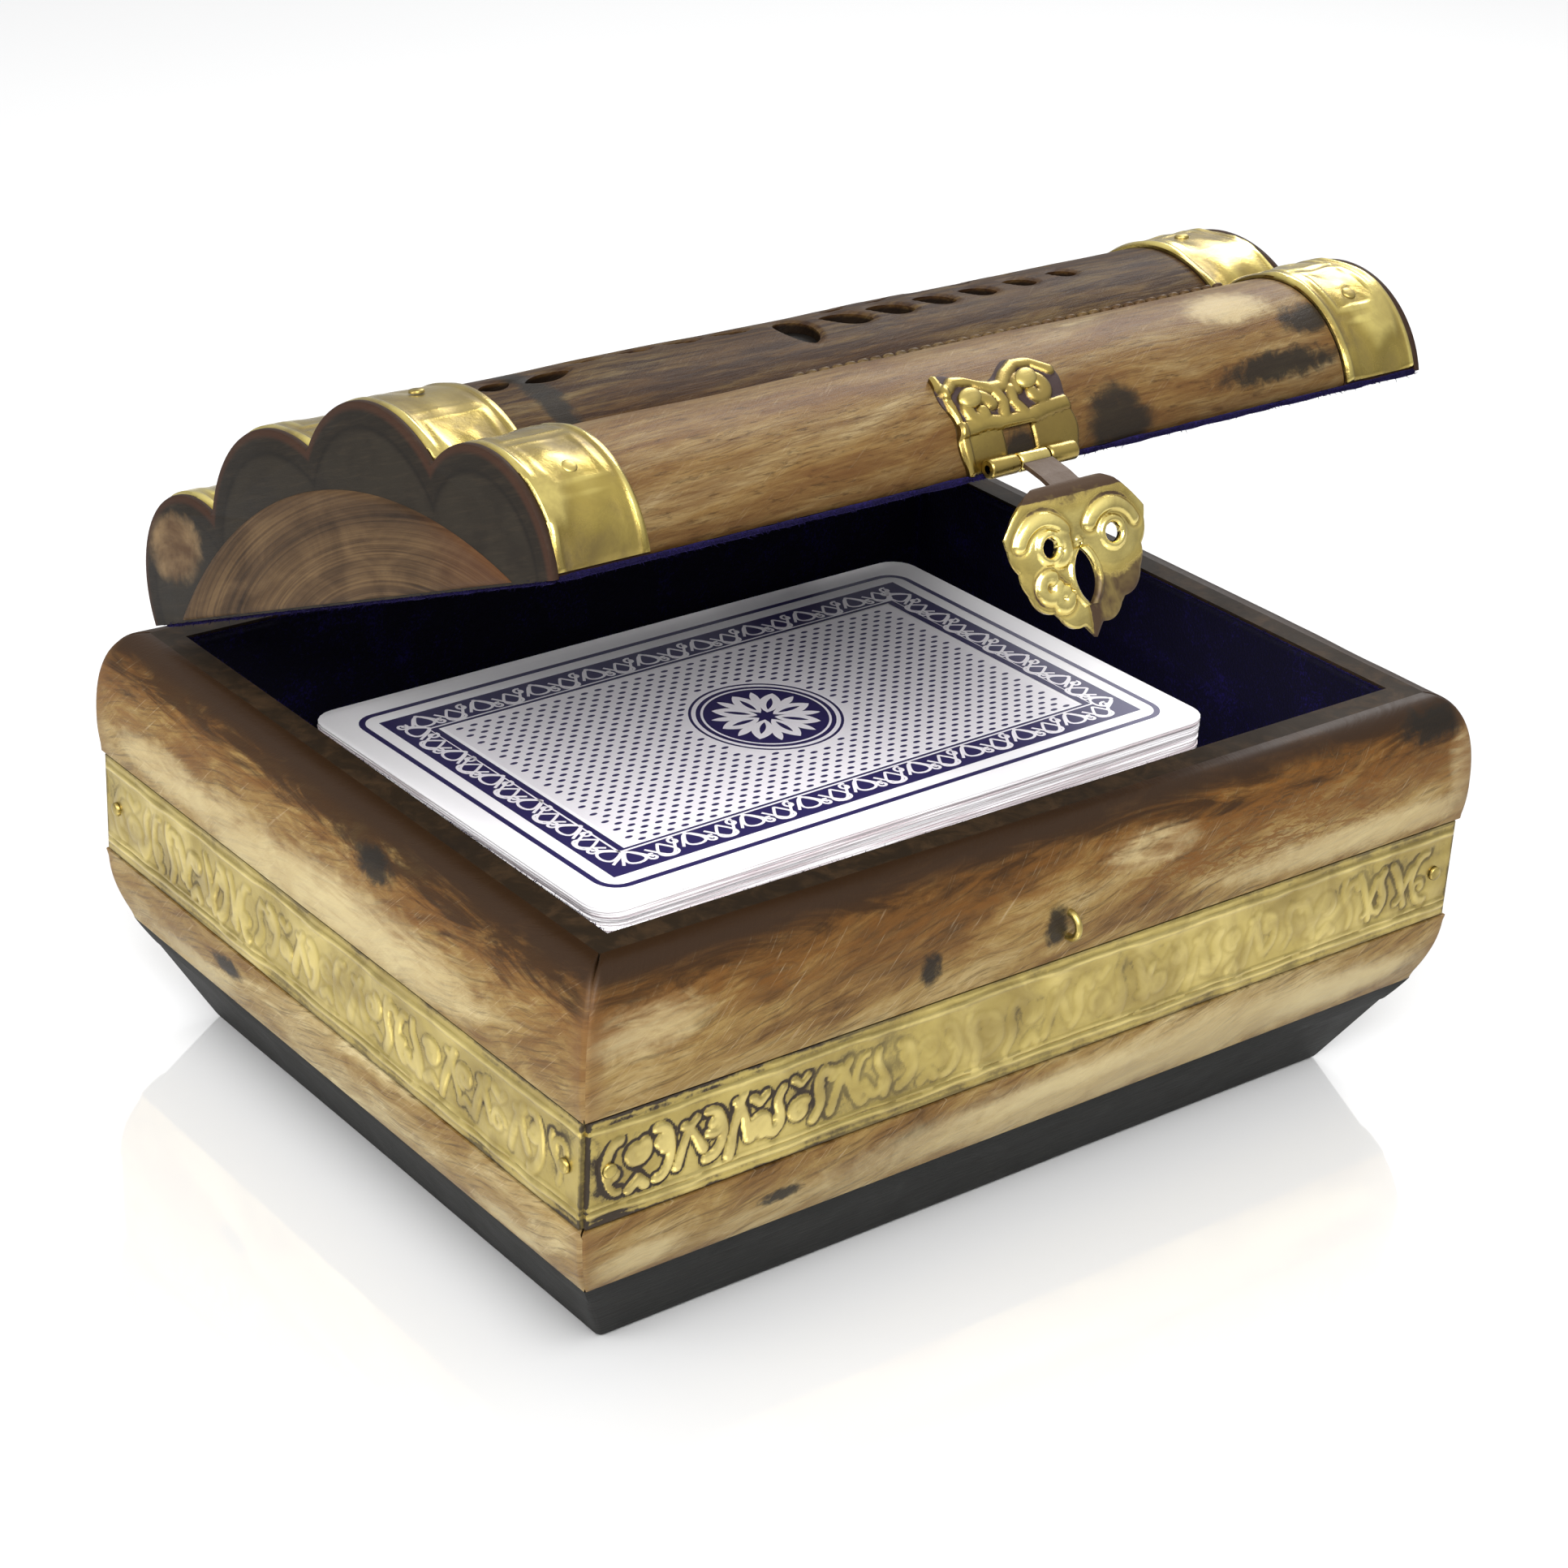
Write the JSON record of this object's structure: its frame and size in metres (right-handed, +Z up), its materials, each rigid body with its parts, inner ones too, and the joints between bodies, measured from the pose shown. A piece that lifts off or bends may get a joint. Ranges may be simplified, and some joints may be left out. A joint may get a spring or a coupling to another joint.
{
  "type": "playing card casket",
  "caption": "Small velvet-lined wooden casket for playing cards: bone panels, embossed brass band, lobed hinged lid with brass straps and a hasp, holding two stacked decks.",
  "frame": {"origin": "centre of the plinth's underside", "axes": "+Z up, -Y towards the front with the hasp, +X along the length to the right as seen from the front"},
  "size_m": [0.125, 0.1014, 0.095],
  "materials": {
    "bone": "polished bone with scorched brown mottling and fine fibre scratches",
    "dark_bone": "polished bone burnt dark brown",
    "brass": "embossed sheet, bright on the high spots, dark patina in the recesses",
    "black_wood": "satin black stain over open grain",
    "dark_wood": "dark stained wood",
    "velvet": "navy velvet with a short pile",
    "cards": "coated playing cards, white edges"
  },
  "bodies": {
    "box": {"plinth": "black_wood", "wall_front": "dark_wood", "wall_right": "dark_wood", "wall_back": "dark_wood", "wall_left": "dark_wood", "lower_bone_front": "bone", "lower_bone_right": "bone", "lower_bone_back": "bone", "lower_bone_left": "bone", "band_front": "brass", "band_right": "brass", "band_back": "brass", "band_left": "brass", "upper_bone_front": "bone", "upper_bone_right": "bone", "upper_bone_back": "bone", "upper_bone_left": "bone", "band_nails": "brass", "keeper_staple": "brass", "lining_floor": "velvet", "lining_front": "velvet", "lining_right": "velvet", "lining_back": "velvet", "lining_left": "velvet", "hinge_base_left": "brass", "hinge_base_right": "brass", "hinge_pin_left": "brass", "hinge_pin_right": "brass", "hinge_base_nails": "brass"},
    "lid": {"hinge_lid_left": "brass", "hinge_lid_right": "brass", "hinge_lid_nails": "brass", "lid_end_left": "black_wood", "lid_end_right": "black_wood", "lid_tile_left": "bone", "lid_tile_right": "bone", "lid_rod_back": "black_wood", "lid_rod_mid_back": "black_wood", "lid_rod_mid_front": "black_wood", "lid_rod_front": "black_wood", "lid_cover_back": "bone", "lid_cover_mid_back": "dark_bone", "lid_cover_mid_front": "dark_bone", "lid_cover_front": "bone", "lid_strap_left": "brass", "lid_strap_right": "brass", "lid_strap_nails": "brass", "lid_lining_front": "velvet", "lid_lining_back": "velvet", "lid_lining_left": "velvet", "lid_lining_right": "velvet", "lid_lining_top": "velvet", "hasp_plate": "brass", "hasp_nails": "brass", "hasp_pin": "brass"},
    "flap": {"hasp_flap": "brass"},
    "cards": {"deck_lower": "cards", "deck_upper": "cards"}
  },
  "joints": [
    {"name": "lid_hinge", "type": "hinge", "parent": "box", "child": "lid", "pos_m": [0, 0.0453, 0.05], "axis": [-1, 0, 0], "range_deg": [-23.5, 80]},
    {"name": "hasp_hinge", "type": "hinge", "parent": "lid", "child": "flap", "pos_m": [0, -0.03768, 0.08674], "axis": [-1, 0, 0], "range_deg": [0, 120]},
    {"name": "deck_lift", "type": "slide", "parent": "box", "child": "cards", "axis": [0, 0, 1], "range_m": [0, 0.0075]}
  ]
}
